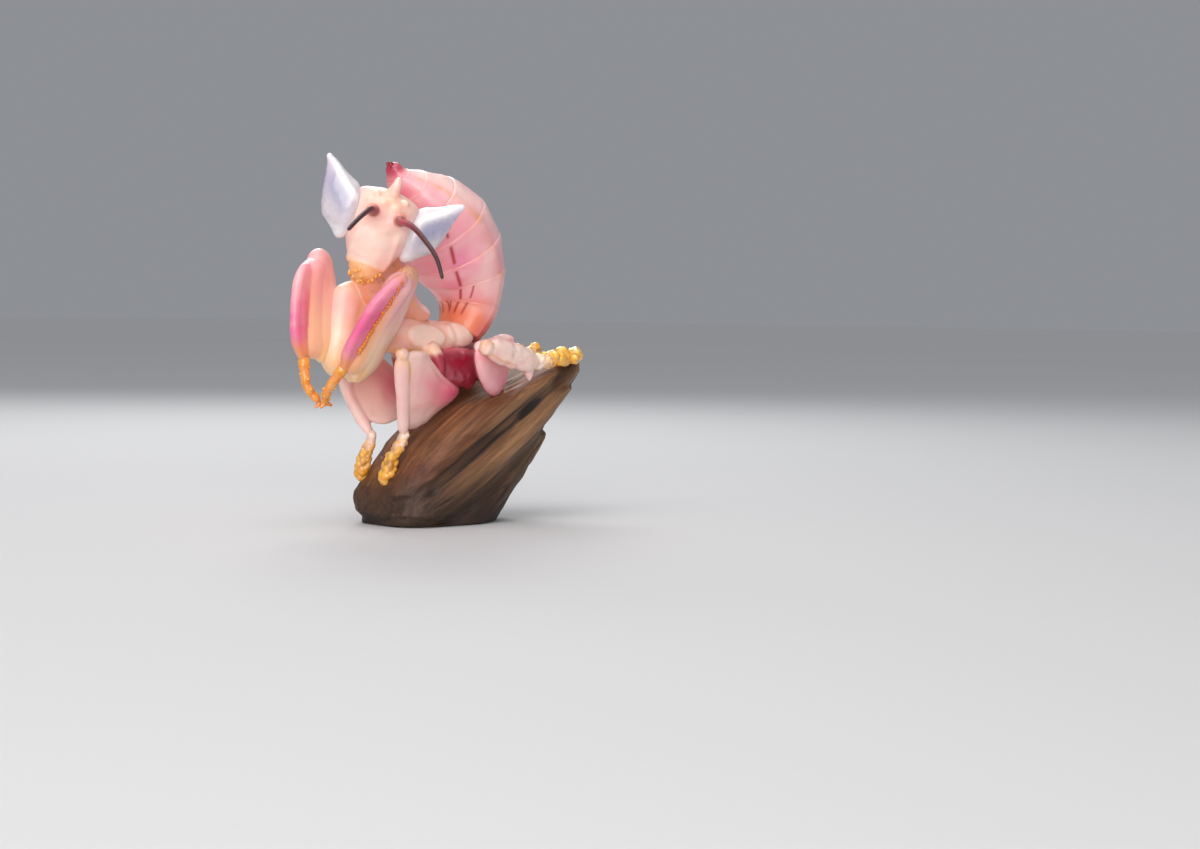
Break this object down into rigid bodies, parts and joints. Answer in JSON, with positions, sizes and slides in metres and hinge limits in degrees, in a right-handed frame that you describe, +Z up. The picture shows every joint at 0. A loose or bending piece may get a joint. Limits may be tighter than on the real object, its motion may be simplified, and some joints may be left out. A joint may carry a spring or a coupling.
{
  "type": "orchid mantis figurine",
  "caption": "Small moulded figurine of a flower-coloured mantis, body curled up and legs folded or spread, standing on a leaning driftwood-shaped base with a flat underside.",
  "frame": {"origin": "middle of the base's flat underside, on the floor plane", "axes": "+Z up; the mantis faces -X and its own left side faces -Y; the raised end of the base points towards +X"},
  "size_m": [0.0691, 0.0432, 0.0641],
  "materials": {
    "blush": "pink translucent moulded vinyl, satin sheen, shaded by hand",
    "rose": "deep rose vinyl, satin sheen",
    "peach": "cream to peach vinyl, satin sheen",
    "eye": "cloudy blue-white translucent vinyl, glossy",
    "gold": "amber paint, satin",
    "maroon": "dark maroon paint",
    "wood": "moulded and painted as weathered brown wood"
  },
  "bodies": {
    "root": {"head": "peach", "horn": "peach", "mouth": "gold", "eye_left": "eye", "antenna_left": "maroon", "eye_right": "eye", "antenna_right": "maroon", "neck": "blush", "pronotum": "blush", "thorax": "peach", "abdomen_1": "blush", "abdomen_2": "blush", "abdomen_3": "blush", "abdomen_4": "blush", "abdomen_5": "blush", "abdomen_6": "blush", "abdomen_7": "blush", "abdomen_tip": "rose", "foreleg_left_coxa": "peach", "foreleg_left_femur": "blush", "foreleg_left_tibia": "rose", "foreleg_left_tarsus": "gold", "foreleg_right_coxa": "peach", "foreleg_right_femur": "blush", "foreleg_right_tibia": "rose", "foreleg_right_tarsus": "gold", "midleg_left_coxa": "peach", "midleg_left_femur": "blush", "midleg_left_tibia": "peach", "midleg_left_tarsus": "gold", "midleg_right_coxa": "peach", "midleg_right_femur": "blush", "midleg_right_tibia": "peach", "midleg_right_tarsus": "gold", "hindleg_left_coxa": "peach", "hindleg_left_femur": "blush", "hindleg_left_tibia": "peach", "hindleg_left_tarsus": "gold", "hindleg_right_coxa": "peach", "hindleg_right_femur": "blush", "hindleg_right_tibia": "peach", "hindleg_right_tarsus": "gold", "base": "wood"}
  },
  "joints": []
}
